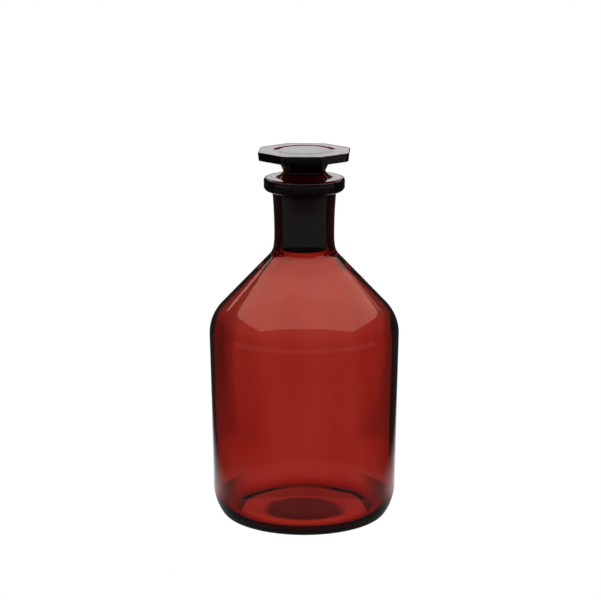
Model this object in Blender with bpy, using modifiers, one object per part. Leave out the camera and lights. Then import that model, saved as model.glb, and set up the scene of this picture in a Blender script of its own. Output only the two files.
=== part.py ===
"""Narrow-neck reagent bottle of red-brown glass, with a solid stopper ground into its neck.

Metres, +Z up. The origin is the middle of the base, on the surface that the bottle stands on.
The stopper's own origin is on its lifting axis, level with the top of the bottle's lip.
"""
from math import atan2, cos, degrees, pi, radians, sin, tan

import bmesh
import bpy
from mathutils import Matrix

# Driving dimensions, in millimetres
mm = 0.001
turnSteps = 48             # facets round a turned shape
arcStep = 12               # degrees between points along a rounded corner
fitGap = 0.3               # between the plug and the bore that it is ground into

lipTop = 156.5             # height of the bottle without its stopper
lipRadius = 18.2
lipHeight = 6.3
lipTopRound = 1.5
lipUnderRound = 2.5
lipGrooveZ = 153.3         # the shallow groove that makes the lip a double bead
lipGrooveDepth = 0.25
lipGrooveHalf = 0.5        # half the groove's height
lipNeckRound = 0.6

neckTopRadius = 14.35
neckRadius = 13.5
neckHollowZ = 139.4        # the neck's side leans in slightly down to here, in one long curve
neckHollowRound = 200.0
neckFlareZ = 127.45        # and starts to flare from here
neckFlareRound = 31.0
neckFootRadius = 14.25     # where the neck's line and the shoulder's would meet
neckFootZ = 122.75
neckFootRound = 7.5

shoulderAngle = 43.65      # of the cone, from the upright
cornerRadius = 43.14       # where the cone's line and the wall's would meet: 86 mm across once rounded
cornerZ = 92.46
shoulderRound = 18.75

heelRadius = 41.49         # where the wall's line and the heel's slope would meet
heelZ = 7.56
heelRound = 22.0
footRadius = 36.5          # where the heel's slope would meet the ground
footRound = 5.0
ringInner = 31.0           # inner edge of the flat ring that the bottle stands on

wall = 2.2
puntHeight = 2.6           # how far the middle of the base is pushed up
puntEdge = 28.5
puntEdgeZ = 1.43
puntEdgeRound = 7.0
ringInnerRound = 1.5
floorMiddle = 4.8          # heights of the inside of the base
floorEdge = 3.4
floorRound = 30.0
middleFlat = 9.0           # the middle of the base is level inside this radius
middleRound = 100.0
innerHeelZ = 9.0           # where the inside wall's line and the inner heel's slope would meet
innerHeelRound = 11.0
innerFootRadius = 35.8     # where the inner heel's slope would meet the floor
innerFootRound = 6.0

jointLength = 29.0         # ground zone, from the top of the lip down
boreTopRadius = 12.3
boreTaper = 0.05           # radius lost per millimetre: a 1 in 10 taper on the diameter
boreFootRound = 6.0
boreTopRound = 0.5

headTop = 168.6
headThickness = 3.9
headSides = 8
headCorner = 22.0          # circumradius at the top edge
headUnderCorner = 21.55    # the sides lean in towards the bottom edge
headTurn = 3.0             # degrees that the front side is turned towards -X
headBevel = 0.35
padRadius = 12.5           # low round pad in the middle of the head
padFootRadius = 12.9
padHeight = 0.2
padDepth = 1.0             # how far the pad's form runs down inside the head

stemTopRadius = 11.9
stemOverlap = 1.2          # how far the stem runs up inside the head
stemStep = 0.4             # the stem's short upright part under the head
waistRadius = 9.2
waistZ = 159.5
waistRound = 1.6
plugTopZ = 157.2
plugTopRound = 0.6
plugBottomZ = 123.4
plugBottomRound = 1.4


def clearScene():
    for old in list(bpy.data.objects):
        bpy.data.objects.remove(old, do_unlink=True)


def newCollection(name):
    group = bpy.data.collections.new(name)
    bpy.context.scene.collection.children.link(group)
    return group


def roundedOutline(corners):
    """Points (r, z) on lines between corners (r, z, rounding), each corner an arc that meets both lines."""
    points = []
    last = len(corners) - 1
    for i, (r, z, rounding) in enumerate(corners):
        if i in (0, last) or rounding == 0:
            points.append((r, z))
            continue
        before, after = corners[i - 1], corners[i + 1]
        arriving = atan2(z - before[1], r - before[0])
        leaving = atan2(after[1] - z, after[0] - r)
        turn = (leaving - arriving + pi) % (2 * pi) - pi
        reach = rounding * tan(abs(turn) / 2)
        side = 1 if turn > 0 else -1
        startR, startZ = r - reach * cos(arriving), z - reach * sin(arriving)
        middleR = startR - side * rounding * sin(arriving)
        middleZ = startZ + side * rounding * cos(arriving)
        steps = max(2, round(degrees(abs(turn)) / arcStep))
        for k in range(steps + 1):
            heading = arriving + turn * k / steps
            arcR = middleR + side * rounding * sin(heading)
            arcZ = middleZ - side * rounding * cos(heading)
            points.append((arcR, arcZ))
    return points


def boreRadius(z):
    return boreTopRadius - boreTaper * (lipTop - z)


def bottleCorners():
    jointBottom = lipTop - jointLength
    boreBottomRadius = boreRadius(jointBottom)
    innerCornerRadius = cornerRadius - wall
    innerCornerZ = cornerZ - wall * tan(radians(shoulderAngle) / 2)
    innerFootZ = innerCornerZ + (innerCornerRadius - boreBottomRadius) / tan(radians(shoulderAngle))
    inside = [
        (0, floorMiddle, 0),
        (middleFlat, floorMiddle, middleRound),
        (puntEdge, floorEdge, floorRound),
        (innerFootRadius, floorEdge, innerFootRound),
        (heelRadius - wall, innerHeelZ, innerHeelRound),
        (innerCornerRadius, innerCornerZ, shoulderRound - wall),
        (boreBottomRadius, innerFootZ, boreFootRound),
        (boreBottomRadius, jointBottom, 0),
    ]
    lip = [
        (boreTopRadius, lipTop, boreTopRound),
        (lipRadius, lipTop, lipTopRound),
        (lipRadius, lipGrooveZ + lipGrooveHalf, 0),
        (lipRadius - lipGrooveDepth, lipGrooveZ, 0),
        (lipRadius, lipGrooveZ - lipGrooveHalf, 0),
        (lipRadius, lipTop - lipHeight, lipUnderRound),
        (neckTopRadius, lipTop - lipHeight, lipNeckRound),
    ]
    outside = [
        (neckRadius, neckHollowZ, neckHollowRound),
        (neckRadius, neckFlareZ, neckFlareRound),
        (neckFootRadius, neckFootZ, neckFootRound),
        (cornerRadius, cornerZ, shoulderRound),
        (heelRadius, heelZ, heelRound),
        (footRadius, 0, footRound),
        (ringInner, 0, ringInnerRound),
        (puntEdge, puntEdgeZ, puntEdgeRound),
        (middleFlat, puntHeight, middleRound),
        (0, puntHeight, 0),
    ]
    return inside + lip + outside


def plugCorners():
    headUnder = headTop - headThickness
    plugTopRadius = boreRadius(plugTopZ) - fitGap
    return [
        (0, headUnder + stemOverlap, 0),
        (stemTopRadius, headUnder + stemOverlap, 0),
        (stemTopRadius, headUnder - stemStep, 0),
        (waistRadius, waistZ, waistRound),
        (plugTopRadius, plugTopZ, plugTopRound),
        (boreRadius(plugBottomZ) - fitGap, plugBottomZ, plugBottomRound),
        (0, plugBottomZ, 0),
    ]


def glassMaterial(name, colour):
    material = bpy.data.materials.new(name)
    material.use_nodes = True
    shader = material.node_tree.nodes["Principled BSDF"]
    shader.inputs["Base Color"].default_value = (*colour, 1)
    shader.inputs["Roughness"].default_value = 0.06
    shader.inputs["Metallic"].default_value = 0.0
    shader.inputs["IOR"].default_value = 1.52
    shader.inputs["Transmission Weight"].default_value = 0.6
    material.diffuse_color = (*colour, 1)
    return material


def turnedObject(name, corners, originZ, group):
    """A round solid: its half outline, from the axis back to the axis, swept round Z."""
    points = roundedOutline(corners)
    mesh = bpy.data.meshes.new(name)
    vertices = [(r * mm, 0, (z - originZ) * mm) for r, z in points]
    edges = [(i, i + 1) for i in range(len(points) - 1)]
    mesh.from_pydata(vertices, edges, [])
    turned = bpy.data.objects.new(name, mesh)
    turned.location = (0, 0, originZ * mm)
    group.objects.link(turned)
    screw = turned.modifiers.new("Turned", "SCREW")
    screw.axis = "Z"
    screw.angle = 2 * pi
    screw.steps = turnSteps
    screw.render_steps = turnSteps
    screw.use_merge_vertices = True
    screw.merge_threshold = 1e-6
    screw.use_smooth_shade = True
    return turned


def discMesh(name, sides, lowRadius, topRadius, lowZ, topZ, turn):
    """An upright prism or disc, widening or narrowing from low to top, turned about Z by some degrees."""
    form = bmesh.new()
    bmesh.ops.create_cone(form, cap_ends=True, segments=sides, radius1=lowRadius * mm,
                          radius2=topRadius * mm, depth=(topZ - lowZ) * mm)
    bmesh.ops.rotate(form, verts=form.verts, matrix=Matrix.Rotation(radians(turn), 3, "Z"))
    bmesh.ops.translate(form, verts=form.verts, vec=(0, 0, (lowZ + topZ) / 2 * mm))
    mesh = bpy.data.meshes.new(name)
    form.to_mesh(mesh)
    form.free()
    return mesh


def addUnion(target, tool):
    join = target.modifiers.new("Join " + tool.name, "BOOLEAN")
    join.operation = "UNION"
    join.solver = "EXACT"
    join.object = tool


def buildBottle(group):
    bottle = turnedObject("bottle", bottleCorners(), 0, group)
    bottle.data.materials.append(glassMaterial("bottle_glass", (0.30, 0.022, 0.014)))


def buildStopper(group, tools):
    stopper = turnedObject("stopper", plugCorners(), lipTop, group)
    stopper.data.materials.append(glassMaterial("stopper_glass", (0.07, 0.012, 0.010)))

    low = headTop - headThickness - lipTop
    top = headTop - lipTop
    halfSide = 180 / headSides
    headMesh = discMesh("head_form", headSides, headUnderCorner, headCorner, low, top, halfSide - headTurn)
    padMesh = discMesh("pad_form", turnSteps, padFootRadius, padRadius, top - padDepth, top + padHeight, 0)
    for name, mesh, bevelled in (("head_form", headMesh, True), ("pad_form", padMesh, False)):
        tool = bpy.data.objects.new(name, mesh)
        tools.objects.link(tool)
        tool.parent = stopper
        tool.hide_render = True
        tool.display_type = "WIRE"
        if bevelled:
            bevel = tool.modifiers.new("Worn edges", "BEVEL")
            bevel.width = headBevel * mm
            bevel.segments = 2
            bevel.limit_method = "ANGLE"
        addUnion(stopper, tool)


def main():
    clearScene()
    group = newCollection("reagent_bottle")
    tools = newCollection("reagent_bottle_forms")
    tools.hide_render = True
    buildBottle(group)
    buildStopper(group, tools)


main()
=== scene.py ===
from math import pi, radians

import bpy
import numpy as np
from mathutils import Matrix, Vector


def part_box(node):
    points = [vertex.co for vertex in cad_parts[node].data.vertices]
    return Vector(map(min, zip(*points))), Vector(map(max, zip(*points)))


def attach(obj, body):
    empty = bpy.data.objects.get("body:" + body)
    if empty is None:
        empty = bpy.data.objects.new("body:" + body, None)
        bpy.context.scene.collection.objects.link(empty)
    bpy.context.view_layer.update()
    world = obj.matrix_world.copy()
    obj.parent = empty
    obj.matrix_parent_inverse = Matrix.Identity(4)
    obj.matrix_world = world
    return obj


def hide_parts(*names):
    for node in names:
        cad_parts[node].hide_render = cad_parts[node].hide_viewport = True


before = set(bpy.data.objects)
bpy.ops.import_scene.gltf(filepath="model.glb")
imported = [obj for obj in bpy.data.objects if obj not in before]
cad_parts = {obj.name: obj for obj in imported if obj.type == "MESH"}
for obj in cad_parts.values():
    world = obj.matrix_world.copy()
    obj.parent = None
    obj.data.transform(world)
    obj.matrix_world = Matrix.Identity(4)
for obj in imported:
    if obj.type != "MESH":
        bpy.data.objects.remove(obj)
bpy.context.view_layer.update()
print("frame loaded:", sorted(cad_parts))

mm = 0.001
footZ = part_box("bottle")[0].z / mm       # heights of the built part, in millimetres
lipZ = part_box("bottle")[1].z / mm
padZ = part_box("stopper")[1].z / mm
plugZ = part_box("stopper")[0].z / mm


# Half outline of a turned piece. Each corner is (radius, height, rounding): the outline runs straight from corner to
# corner, and an arc of that rounding touches both lines. Long straights are cut into short steps.
def roundedOutline(corners, longestStep, arcStep=5.0):
    points = [np.array([corners[0][:2]], float)]
    for before, here, after in zip(corners, corners[1:], corners[2:]):
        rounding = here[2]
        middle = np.array(here[:2], float)
        back = np.array(before[:2], float) - middle
        ahead = np.array(after[:2], float) - middle
        arriving = np.arctan2(-back[1], -back[0])
        leaving = np.arctan2(ahead[1], ahead[0])
        turn = (leaving - arriving + pi) % (2 * pi) - pi
        side = np.sign(turn)
        reach = rounding * np.tan(abs(turn) / 2)
        start = middle + reach * back / np.linalg.norm(back)
        centre = start + side * rounding * np.array([-np.sin(arriving), np.cos(arriving)])
        steps = max(3, int(np.degrees(abs(turn)) / arcStep))
        heading = arriving + turn * np.linspace(0, 1, steps + 1)
        points.append(centre + side * rounding * np.stack([np.sin(heading), -np.cos(heading)], axis=1))
    points.append(np.array([corners[-1][:2]], float))
    return shortSteps(np.concatenate(points), longestStep)


# The same line with its long straights divided evenly, so that a wavy wall has points to follow.
def shortSteps(line, longestStep):
    lengths = np.linalg.norm(np.diff(line, axis=0), axis=1)
    parts = np.maximum(1, np.ceil(lengths / longestStep).astype(int))
    along = [np.linspace(0, 1, n, endpoint=False)[:, None] for n in parts]
    pieces = [a + t * (b - a) for a, b, t in zip(line[:-1], line[1:], along)]
    return np.concatenate(pieces + [line[-1:]])


# A closed round mesh from grids of radius and height over (outline point, angle): x = r cos a, y = r sin a. The first
# and last outline points lie on the axis and become one vertex each.
def turnedPiece(name, node, radius, height, angles):
    rings, around = radius.shape
    x = (radius * np.cos(angles)).ravel()
    y = (radius * np.sin(angles)).ravel()
    grid = np.stack([x, y, height.ravel()], axis=1)[around:-around]
    ends = np.array([[0, 0, height[0].mean()], [0, 0, height[-1].mean()]])
    vertices = np.concatenate([grid, ends]) * mm
    row = np.arange(rings - 3)[:, None] * around
    here = np.arange(around)[None, :]
    after = (here + 1) % around
    quads = np.stack([row + here, row + around + here, row + around + after, row + after], axis=-1).reshape(-1, 4)
    column = np.arange(around)
    beside = (column + 1) % around
    first, last = len(grid), len(grid) + 1
    lastRow = len(grid) - around
    startFan = np.stack([np.full(around, first), column, beside], axis=1)
    endFan = np.stack([lastRow + column, np.full(around, last), lastRow + beside], axis=1)
    mesh = bpy.data.meshes.new(name)
    mesh.from_pydata(vertices, [], quads.tolist() + startFan.tolist() + endFan.tolist())
    mesh.shade_smooth()
    mesh.validate()
    piece = bpy.data.objects.new(name, mesh)
    bpy.context.scene.collection.objects.link(piece)
    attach(piece, node)
    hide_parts(node)
    return piece


def spread(outline, around):
    angles = np.linspace(0, 2 * pi, around, endpoint=False)[None, :]
    return np.repeat(outline[:, :1], around, axis=1), np.repeat(outline[:, 1:], around, axis=1), angles


# 0 below low, 1 above high, and 3t^2 - 2t^3 between.
def smoothStep(low, high, value):
    share = np.clip((value - low) / (high - low), 0, 1)
    return share * share * (3 - 2 * share)


# All lengths in millimetres. A corner is (radius, height, rounding) unless a note says otherwise.
bottle = {
    "around": 240,                  # columns round the bottle
    "longestStep": 1.6,
    "wall": 2.2,
    "floorMiddle": 4.8,             # heights of the inside of the base
    "floorEdge": 3.4,
    "middleFlat": (9.0, 100.0),     # the middle of the base is level inside this radius, then rounds over
    "floorRound": 30.0,
    "innerFoot": (35.8, 6.0),       # radius, rounding
    "innerHeel": (9.0, 11.0),       # height, rounding
    "innerNeckRound": 6.0,
    "jointLength": 29.0,            # ground zone, from the top of the lip down
    "boreTop": 12.3,
    "boreTaper": 0.05,              # radius lost per millimetre
    "edgeRound": 0.5,               # at both ends of the bore
    "lipRadius": 18.2,
    "lipHeight": 6.3,
    "lipTopRound": 1.5,
    "lipUnderRound": 2.4,
    "grooveBelowTop": 3.2,          # the groove that parts the lip's two beads
    "grooveDepth": 0.22,
    "grooveHalf": 0.5,
    "grooveRound": 0.4,
    "neckTop": (14.35, 0.6),        # radius, rounding
    "neckHollow": (13.5, 139.4, 200.0),
    "neckFlare": (13.5, 127.45, 31.0),
    "neckFoot": (14.25, 122.75, 7.3),
    "shoulder": (43.14, 92.46, 18.75),
    "shoulderAngle": 43.65,         # degrees from the upright
    "heel": (41.49, 7.56, 22.0),
    "foot": (36.5, 4.95),           # radius, rounding
    "ring": (31.0, 1.5),            # inner edge of the ring that the bottle stands on: radius, rounding
    "puntEdge": (28.5, 1.43, 7.0),
    "puntHeight": 2.6,              # how far the middle of the base is pushed up
    "outerWave": 0.035,             # how far the outside wanders from a true circle
    "innerWave": 0.08,              # how far the inside does
    "shoulderThin": 0.85,           # how much further out the inside lies under the shoulder
}


# Outline from the middle of the inside floor, up the inside, over the lip and down the outside to the middle of the
# base, and the number of its points that are inside.
def bottleOutline(b):
    jointZ = lipZ - b["jointLength"]
    boreFoot = b["boreTop"] - b["boreTaper"] * b["jointLength"]
    angle = radians(b["shoulderAngle"])
    shoulderR, shoulderZ, shoulderRound = b["shoulder"]
    insideR = shoulderR - b["wall"]
    insideZ = shoulderZ - b["wall"] * np.tan(angle / 2)
    insideNeckZ = insideZ + (insideR - boreFoot) / np.tan(angle)
    grooveZ = lipZ - b["grooveBelowTop"]
    underZ = lipZ - b["lipHeight"]
    flat, flatRound = b["middleFlat"]
    inside = [
        (0, b["floorMiddle"], 0),
        (flat, b["floorMiddle"], flatRound),
        (b["puntEdge"][0], b["floorEdge"], b["floorRound"]),
        (b["innerFoot"][0], b["floorEdge"], b["innerFoot"][1]),
        (b["heel"][0] - b["wall"], *b["innerHeel"]),
        (insideR, insideZ, shoulderRound - b["wall"]),
        (boreFoot, insideNeckZ, b["innerNeckRound"]),
        (boreFoot, jointZ, b["edgeRound"]),
    ]
    lip = [
        (b["boreTop"], lipZ, b["edgeRound"]),
        (b["lipRadius"], lipZ, b["lipTopRound"]),
        (b["lipRadius"], grooveZ + b["grooveHalf"], b["grooveRound"]),
        (b["lipRadius"] - b["grooveDepth"], grooveZ, b["grooveRound"]),
        (b["lipRadius"], grooveZ - b["grooveHalf"], b["grooveRound"]),
        (b["lipRadius"], underZ, b["lipUnderRound"]),
        (b["neckTop"][0], underZ, b["neckTop"][1]),
    ]
    outside = [
        b["neckHollow"],
        b["neckFlare"],
        b["neckFoot"],
        b["shoulder"],
        b["heel"],
        (b["foot"][0], footZ, b["foot"][1]),
        (b["ring"][0], footZ, b["ring"][1]),
        b["puntEdge"],
        (flat, b["puntHeight"], flatRound),
        (0, b["puntHeight"], 0),
    ]
    step = b["longestStep"]
    return roundedOutline(inside + lip + outside, step), len(roundedOutline(inside + lip[:1], step))


# Blown glass is never quite round: the radius gains a sum of slow sine waves in angle and height, larger on the inside,
# and none where the bore and lip are shaped by a tool or where the bottle stands.
def makeBottle(b):
    outline, insideCount = bottleOutline(b)
    radius, z, angles = spread(outline, b["around"])
    outer = np.sin(3 * angles + 0.04 * z) + 0.6 * np.sin(5 * angles + 1.3 - 0.03 * z)
    outer += 0.35 * np.sin(11 * angles + 0.09 * z + 0.4)
    inner = np.sin(2 * angles + 0.5 + 0.02 * z) + 0.7 * np.sin(7 * angles + 2.1 - 0.035 * z)
    inner += 0.5 * np.sin(13 * angles + 0.6 + 0.015 * z) + 0.4 * np.sin(3 * angles + 0.11 * z)
    inside = (np.arange(len(outline)) < insideCount)[:, None]
    blown = smoothStep(8, 24, z) * (1 - smoothStep(108, 124, z)) * smoothStep(20, 34, radius)
    underShoulder = smoothStep(86, 98, z) * (1 - smoothStep(112, 121, z)) * smoothStep(14, 20, radius)
    radius = radius + blown * np.where(inside, b["innerWave"] * inner, b["outerWave"] * outer)
    radius = radius + np.where(inside, b["shoulderThin"] * underShoulder, 0)
    return turnedPiece("bottle_visual", "bottle", radius, z, angles)


stopper = {
    "around": 256,                  # columns round the stopper
    "longestStep": 1.2,
    "pad": 12.5,                    # low round pad on the head
    "padHeight": 0.2,
    "padEdge": 2.6,                 # width of the slope round the pad
    "padRound": 12.0,
    "headThickness": 3.9,
    "headAcross": 20.33,            # from the axis to the middle of a side, at the top edge
    "headUnder": 19.91,             # the same at the bottom edge
    "headEdge": 0.45,               # rounding of both edges
    "headTurn": -3.0,               # degrees that the front side is turned towards -X
    "cornerPower": 70.0,            # higher is sharper
    "stem": (11.9, 0.4),            # radius, rounding
    "waist": (9.2, 159.0, 1.6),
    "plugTop": (156.3, 0.6),        # height, rounding
    "plugEndRound": 1.4,
    "gap": 0.3,                     # between the plug and the bore
    "wave": 0.02,                   # how far the pressed head is from flat
}


# Octagon in polar form, 1 at the middle of each side. Each side's line is at 1 / cos(angle to its middle); the sum of
# the eight cosines to a high power takes the nearest side and rounds the corners where two are equal.
def octagon(angles, turn, power):
    sides = turn + np.arange(8)[:, None] * pi / 4
    facing = np.maximum(np.cos(angles - sides), 0)
    return (facing ** power).sum(axis=0)[None, :] ** (-1 / power)


def plugRadius(z):
    return bottle["boreTop"] - bottle["boreTaper"] * (lipZ - z) - stopper["gap"]


# Turned outline, with the head's radius multiplied by the octagon towards its rim. The head's height gains a slow wave,
# sin(kx x) sin(ky y), as pressed glass has.
def makeStopper(s):
    headZ = padZ - s["padHeight"]
    underZ = headZ - s["headThickness"]
    plugTopZ, plugTopRound = s["plugTop"]
    outline = roundedOutline([
        (0, padZ, 0),
        (s["pad"] - s["padEdge"] / 2, padZ, s["padRound"]),
        (s["pad"] + s["padEdge"] / 2, headZ, s["padRound"]),
        (s["headAcross"], headZ, s["headEdge"]),
        (s["headUnder"], underZ, s["headEdge"]),
        (s["stem"][0], underZ, s["stem"][1]),
        s["waist"],
        (plugRadius(plugTopZ), plugTopZ, plugTopRound),
        (plugRadius(plugZ), plugZ, s["plugEndRound"]),
        (0, plugZ, 0),
    ], s["longestStep"])
    radius, height, angles = spread(outline, s["around"])
    x, y = radius * np.cos(angles), radius * np.sin(angles)
    rim = smoothStep(13.2, 18.8, radius)
    sides = octagon(angles, radians(s["headTurn"] - 90), s["cornerPower"])
    pressed = smoothStep(underZ - 2, underZ, height)
    tilted = 0.153 * x + 0.129 * y          # 0.2 times the distance along a line 40 degrees from X
    height = height + pressed * s["wave"] * np.sin(tilted + 0.4) * np.sin(0.17 * y)
    radius = radius * (1 + rim * (sides - 1))
    return turnedPiece("stopper_visual", "stopper", radius, height, angles)


def link(tree, source, target):
    tree.links.new(source, target)


def addNode(tree, kind, **values):
    node = tree.nodes.new(kind)
    for name, value in values.items():
        setattr(node, name, value)
    return node


def axisParts(tree, coordinates):
    node = addNode(tree, "ShaderNodeSeparateXYZ")
    link(tree, coordinates, node.inputs["Vector"])
    return node.outputs


# Radius from the piece's own axis: the length of (x, y, 0).
def axisRadius(tree, coordinates):
    flat = addNode(tree, "ShaderNodeVectorMath", operation="MULTIPLY")
    flat.inputs[1].default_value = (1, 1, 0)
    link(tree, coordinates, flat.inputs[0])
    length = addNode(tree, "ShaderNodeVectorMath", operation="LENGTH")
    link(tree, flat.outputs["Vector"], length.inputs[0])
    return length.outputs["Value"]


def ramp(tree, value, fromLow, fromHigh, toLow, toHigh):
    node = addNode(tree, "ShaderNodeMapRange", interpolation_type="SMOOTHSTEP")
    node.inputs["From Min"].default_value = fromLow
    node.inputs["From Max"].default_value = fromHigh
    node.inputs["To Min"].default_value = toLow
    node.inputs["To Max"].default_value = toHigh
    link(tree, value, node.inputs["Value"])
    return node.outputs["Result"]


def combine(tree, operation, first, second):
    node = addNode(tree, "ShaderNodeMath", operation=operation)
    for socket, value in zip(node.inputs, (first, second)):
        if isinstance(value, (int, float)):
            socket.default_value = value
        else:
            link(tree, value, socket)
    return node.outputs["Value"]


def noise(tree, vector, scale, detail):
    node = addNode(tree, "ShaderNodeTexNoise")
    node.inputs["Scale"].default_value = scale
    node.inputs["Detail"].default_value = detail
    link(tree, vector, node.inputs["Vector"])
    return node.outputs["Fac"]


glass = {
    "tint": (0.776, 0.179, 0.080),  # 1 minus each channel is its share of the density
    "bottleDensity": 1000.0,
    "stopperDensity": 1700.0,
    "ior": 1.52,
    "drawn": (1, 1, 0.12),          # streaks are noise squeezed along the height
    "streakScale": 90.0,
    "skin": (1.0, 0.94),            # brightness of the surface, between streaks and in them
    "polish": (0.0, 0.02),          # roughness of the fire-polished skin
    "ground": 0.34,                 # roughness of the ground joint
    "gritScale": 2600.0,
    "grit": 0.08,                   # share of the relief that the grit makes
    "ripple": 38.0,                 # scale of the slow ripple in the skin
    "bump": (0.25, 0.0004),         # strength, distance
}


# Clear absorbing glass. groundMask(tree, coordinates) says where the joint was ground matt, from 0 to 1.
def glassMaterial(name, density, groundMask):
    material = bpy.data.materials.new(name)
    material.use_nodes = True
    tree = material.node_tree
    tree.nodes.clear()
    output = addNode(tree, "ShaderNodeOutputMaterial")
    shader = addNode(tree, "ShaderNodeBsdfPrincipled")
    shader.inputs["IOR"].default_value = glass["ior"]
    shader.inputs["Transmission Weight"].default_value = 1.0
    link(tree, shader.outputs["BSDF"], output.inputs["Surface"])
    inside = addNode(tree, "ShaderNodeVolumeAbsorption")
    inside.inputs["Color"].default_value = (*glass["tint"], 1)
    inside.inputs["Density"].default_value = density
    link(tree, inside.outputs["Volume"], output.inputs["Volume"])

    coordinates = addNode(tree, "ShaderNodeTexCoord").outputs["Object"]
    ground = groundMask(tree, coordinates)
    drawn = addNode(tree, "ShaderNodeMapping")
    drawn.inputs["Scale"].default_value = glass["drawn"]
    link(tree, coordinates, drawn.inputs["Vector"])
    streaks = noise(tree, drawn.outputs["Vector"], glass["streakScale"], 2)
    skin = ramp(tree, streaks, 0.3, 0.75, *glass["skin"])
    tone = addNode(tree, "ShaderNodeCombineColor")
    for channel in ("Red", "Green", "Blue"):
        link(tree, skin, tone.inputs[channel])
    link(tree, tone.outputs["Color"], shader.inputs["Base Color"])

    # polish varies a little over the skin, and the ground joint is evenly matt
    polish = ramp(tree, streaks, 0.35, 0.8, *glass["polish"])
    matt = combine(tree, "MULTIPLY", ground, glass["ground"])
    link(tree, combine(tree, "MAXIMUM", polish, matt), shader.inputs["Roughness"])

    # fine grit on the ground joint, and a slow ripple everywhere
    grit = combine(tree, "MULTIPLY", noise(tree, coordinates, glass["gritScale"], 1), ground)
    ripple = noise(tree, drawn.outputs["Vector"], glass["ripple"], 1)
    relief = combine(tree, "ADD", combine(tree, "MULTIPLY", grit, glass["grit"]), ripple)
    bump = addNode(tree, "ShaderNodeBump")
    strength, distance = glass["bump"]
    bump.inputs["Strength"].default_value = strength
    bump.inputs["Distance"].default_value = distance
    link(tree, relief, bump.inputs["Height"])
    link(tree, bump.outputs["Normal"], shader.inputs["Normal"])
    return material


# The bore's ground zone: inside the neck, above the joint's lower end and below the lip's rounded edge.
def boreMask(tree, coordinates):
    z = axisParts(tree, coordinates)["Z"]
    jointZ = lipZ - bottle["jointLength"]
    above = ramp(tree, z, (jointZ - 0.3) * mm, (jointZ + 0.3) * mm, 0, 1)
    below = ramp(tree, z, (lipZ - 1.0) * mm, (lipZ - 0.5) * mm, 1, 0)
    near = ramp(tree, axisRadius(tree, coordinates), 12.5 * mm, 12.9 * mm, 1, 0)
    return combine(tree, "MULTIPLY", combine(tree, "MULTIPLY", above, below), near)


# The plug's ground zone: all of its tapered side.
def plugMask(tree, coordinates):
    z = axisParts(tree, coordinates)["Z"]
    plugTopZ = stopper["plugTop"][0]
    below = ramp(tree, z, (plugTopZ - 0.5) * mm, plugTopZ * mm, 1, 0)
    above = ramp(tree, z, (plugZ + 0.8) * mm, (plugZ + 1.4) * mm, 0, 1)
    return combine(tree, "MULTIPLY", below, above)


# Lengths in metres here. Where two numbers give a change, it happens between them.
studio = {
    "white": 1.0,                   # radiance of the floor, and of the surround near the horizon
    "dim": 0.03,                    # radiance of the rest of the room
    "horizon": (0.0, 0.14),         # sines of the elevations where the surround goes from white to dim
    "floorSize": 40.0,
    "floorZ": -0.0003,
    "shade": (0.015, 0.021),        # painted contact shadow: the floor under the bottle is dark inside these radii
    "shadeLevel": 0.03,
    "flagCount": 8,                 # directions from the bottle in which the floor is fully lit
    "flagLevel": 0.7,               # what is left of the floor's light between them
    "flagStart": (0.10, 0.22),      # radii where that begins
    "asideAcross": (0.026, 0.042),  # painted shade: distances from the middle where the floor close beside the bottle darkens
    "asideEnd": (0.05, 0.07),       # radii where that ends
    "asideLevel": 0.25,
    "leftFall": (-0.12, -0.02),     # painted shade: the floor's light falls off a little to the left
    "leftLevel": 0.72,
    "sweepHalf": (0.04, 0.115),     # half width of the lit sweep behind the bottle, for mirrored light
    "sweepFront": (-0.02, 0.03),    # where it starts
    "pool": (0.07, 0.16),           # a pool of light just in front of the bottle fades out here
    "poolLevel": 0.2,
    "apron": (0.40, 0.54),          # and the floor lights up again here
    "apronLevel": 0.2,
    "close": (0.045, 0.08),         # mirrored light is dimmer close round the bottle
    "closeLevel": 0.42,
}


# 1 for light that glass has mirrored, which meets a darker room than light that has gone straight through.
def mirroredShare(tree):
    path = addNode(tree, "ShaderNodeLightPath")
    return combine(tree, "GREATER_THAN", path.outputs["Glossy Depth"], 0.5)


def surround():
    world = bpy.data.worlds.new("Studio surround")
    bpy.context.scene.world = world
    world.use_nodes = True
    tree = world.node_tree
    background = tree.nodes["Background"]
    background.inputs["Color"].default_value = (1, 1, 1, 1)
    direction = addNode(tree, "ShaderNodeTexCoord").outputs["Generated"]
    height = axisParts(tree, direction)["Z"]
    level = ramp(tree, height, *studio["horizon"], studio["white"], studio["dim"])
    straight = ramp(tree, mirroredShare(tree), 0, 1, 1, 0)
    through = combine(tree, "MAXIMUM", combine(tree, "MULTIPLY", level, straight), studio["dim"])
    camera = addNode(tree, "ShaderNodeLightPath").outputs["Is Camera Ray"]
    seen = combine(tree, "MULTIPLY", camera, studio["white"])
    link(tree, combine(tree, "MAXIMUM", seen, through), background.inputs["Strength"])


# The floor's brightness for light that reaches it straight through the glass.
def straightLevel(tree, x, y, radius):
    petals = combine(tree, "MULTIPLY", combine(tree, "ARCTAN2", y, x), studio["flagCount"])
    petals = combine(tree, "COSINE", petals, 0)
    flags = ramp(tree, petals, -1, 0.1, studio["flagLevel"], 1)
    near = ramp(tree, radius, *studio["flagStart"], 1, 0)
    across = combine(tree, "ABSOLUTE", x, 0)
    # painted shade on the floor close beside the bottle
    aside = ramp(tree, across, *studio["asideAcross"], 1, studio["asideLevel"])
    far = ramp(tree, radius, *studio["asideEnd"], 0, 1)
    # painted shade: the floor's light falls off to the left
    leftward = ramp(tree, x, *studio["leftFall"], studio["leftLevel"], 1)
    level = combine(tree, "MULTIPLY", combine(tree, "MAXIMUM", flags, near), combine(tree, "MAXIMUM", aside, far))
    return combine(tree, "MULTIPLY", level, leftward)


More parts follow.
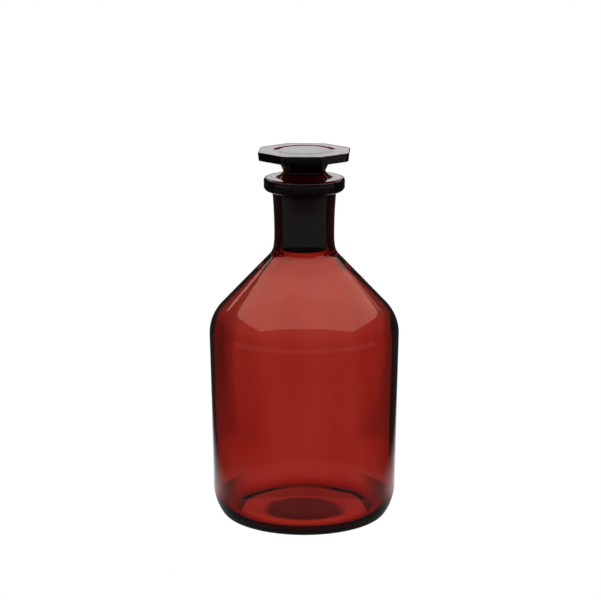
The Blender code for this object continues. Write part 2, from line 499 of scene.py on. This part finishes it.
# The same for light that the glass has mirrored: a lit sweep behind, and a pool and an apron in front.
def mirroredLevel(tree, x, y, radius):
    across = combine(tree, "ABSOLUTE", x, 0)
    sweep = ramp(tree, across, *studio["sweepHalf"], 1, studio["dim"])
    behind = ramp(tree, y, *studio["sweepFront"], 0, 1)
    inFront = ramp(tree, y, *studio["sweepFront"], 1, 0)
    pool = ramp(tree, radius, *studio["pool"], studio["poolLevel"], studio["dim"])
    apron = ramp(tree, radius, *studio["apron"], studio["dim"], studio["apronLevel"])
    front = combine(tree, "MULTIPLY", combine(tree, "MAXIMUM", pool, apron), inFront)
    level = combine(tree, "ADD", combine(tree, "MULTIPLY", sweep, behind), front)
    return combine(tree, "MULTIPLY", level, ramp(tree, radius, *studio["close"], studio["closeLevel"], 1))


# The floor only glows, and its strength carries painted light and shade round the bottle.
def floorMaterial():
    material = bpy.data.materials.new("Pale floor")
    material.use_nodes = True
    tree = material.node_tree
    tree.nodes.clear()
    output = addNode(tree, "ShaderNodeOutputMaterial")
    glow = addNode(tree, "ShaderNodeEmission")
    link(tree, glow.outputs["Emission"], output.inputs["Surface"])
    coordinates = addNode(tree, "ShaderNodeTexCoord").outputs["Object"]
    x, y = axisParts(tree, coordinates)["X"], axisParts(tree, coordinates)["Y"]
    radius = axisRadius(tree, coordinates)
    share = mirroredShare(tree)
    straight = combine(tree, "MULTIPLY", ramp(tree, share, 0, 1, 1, 0), straightLevel(tree, x, y, radius))
    camera = addNode(tree, "ShaderNodeLightPath").outputs["Is Camera Ray"]
    straight = combine(tree, "MAXIMUM", straight, camera)
    mirrored = combine(tree, "MULTIPLY", share, mirroredLevel(tree, x, y, radius))
    # painted contact shadow: the floor's glow is dark under the bottle
    contactShadow = ramp(tree, radius, *studio["shade"], studio["shadeLevel"], studio["white"])
    level = combine(tree, "MULTIPLY", contactShadow, combine(tree, "MAXIMUM", straight, mirrored))
    link(tree, level, glow.inputs["Strength"])
    return material


def makeFloor(count=96):
    angles = np.linspace(0, 2 * pi, count, endpoint=False)
    size = studio["floorSize"]
    rim = np.stack([size * np.cos(angles), size * np.sin(angles), np.full(count, studio["floorZ"])], axis=1)
    mesh = bpy.data.meshes.new("floor")
    mesh.from_pydata(rim, [], [list(range(count))])
    floor = bpy.data.objects.new("floor", mesh)
    bpy.context.scene.collection.objects.link(floor)
    mesh.materials.append(floorMaterial())


lamps = [
    {"name": "Overhead softbox", "at": (0.075, 0.29, 0.71), "aim": (0.075, 0.29, 0), "size": (1.75, 1.45),
     "radiance": 1.25, "colour": (1, 0.70, 0.54)},
    {"name": "Backdrop", "at": (0, 1.3, 0.56), "aim": (0, 0, 0.17), "size": (0.64, 0.42),
     "radiance": 1.1, "colour": (0.97, 0.97, 1)},
    {"name": "Left edge light", "at": (-0.78, 1.02, 0.64), "aim": (0, 0, 0.17), "size": (0.2, 0.17),
     "radiance": 1.0, "colour": (1, 0.9, 0.85)},
    {"name": "Right edge light", "at": (0.78, 1.02, 0.64), "aim": (0, 0, 0.17), "size": (0.2, 0.17),
     "radiance": 0.5, "colour": (1, 0.8, 0.7)},
]


def makeLamps():
    for lamp in lamps:
        width, depth = lamp["size"]
        data = bpy.data.lights.new(lamp["name"], "AREA")
        data.shape = "RECTANGLE"
        data.size, data.size_y = width, depth
        data.color = lamp["colour"]
        data.energy = lamp["radiance"] * width * depth * pi
        holder = bpy.data.objects.new(lamp["name"], data)
        holder.location = lamp["at"]
        holder.rotation_mode = "QUATERNION"
        holder.rotation_quaternion = (Vector(lamp["at"]) - Vector(lamp["aim"])).to_track_quat("Z", "Y")
        holder.visible_camera = False
        bpy.context.scene.collection.objects.link(holder)


view = {
    "lens": 128.85,
    "sensor": 36.0,
    "clip": (0.01, 200.0),
    "at": (-0.0017, -0.950, 0.3153),
    "down": 12.77,                  # degrees that the camera looks down
    "bounces": 24,
    "mirrorBounces": 10,
}


def makeCamera():
    data = bpy.data.cameras.new("Camera")
    data.lens = view["lens"]
    data.sensor_width = view["sensor"]
    data.clip_start, data.clip_end = view["clip"]
    camera = bpy.data.objects.new("Camera", data)
    camera.location = view["at"]
    camera.rotation_euler = (radians(90 - view["down"]), 0, 0)
    bpy.context.scene.collection.objects.link(camera)
    scene = bpy.context.scene
    scene.camera = camera
    scene.view_settings.view_transform = "Standard"
    scene.cycles.max_bounces = view["bounces"]
    scene.cycles.transmission_bounces = view["bounces"]
    scene.cycles.glossy_bounces = view["mirrorBounces"]


bottlePiece = makeBottle(bottle)
bottlePiece.data.materials.append(glassMaterial("Red-brown bottle glass", glass["bottleDensity"], boreMask))
print("bottle:", len(bottlePiece.data.polygons), "faces")
stopperPiece = makeStopper(stopper)
stopperPiece.data.materials.append(glassMaterial("Red-brown stopper glass", glass["stopperDensity"], plugMask))
print("stopper:", len(stopperPiece.data.polygons), "faces")
surround()
makeFloor()
makeLamps()
makeCamera()
print("studio ready")
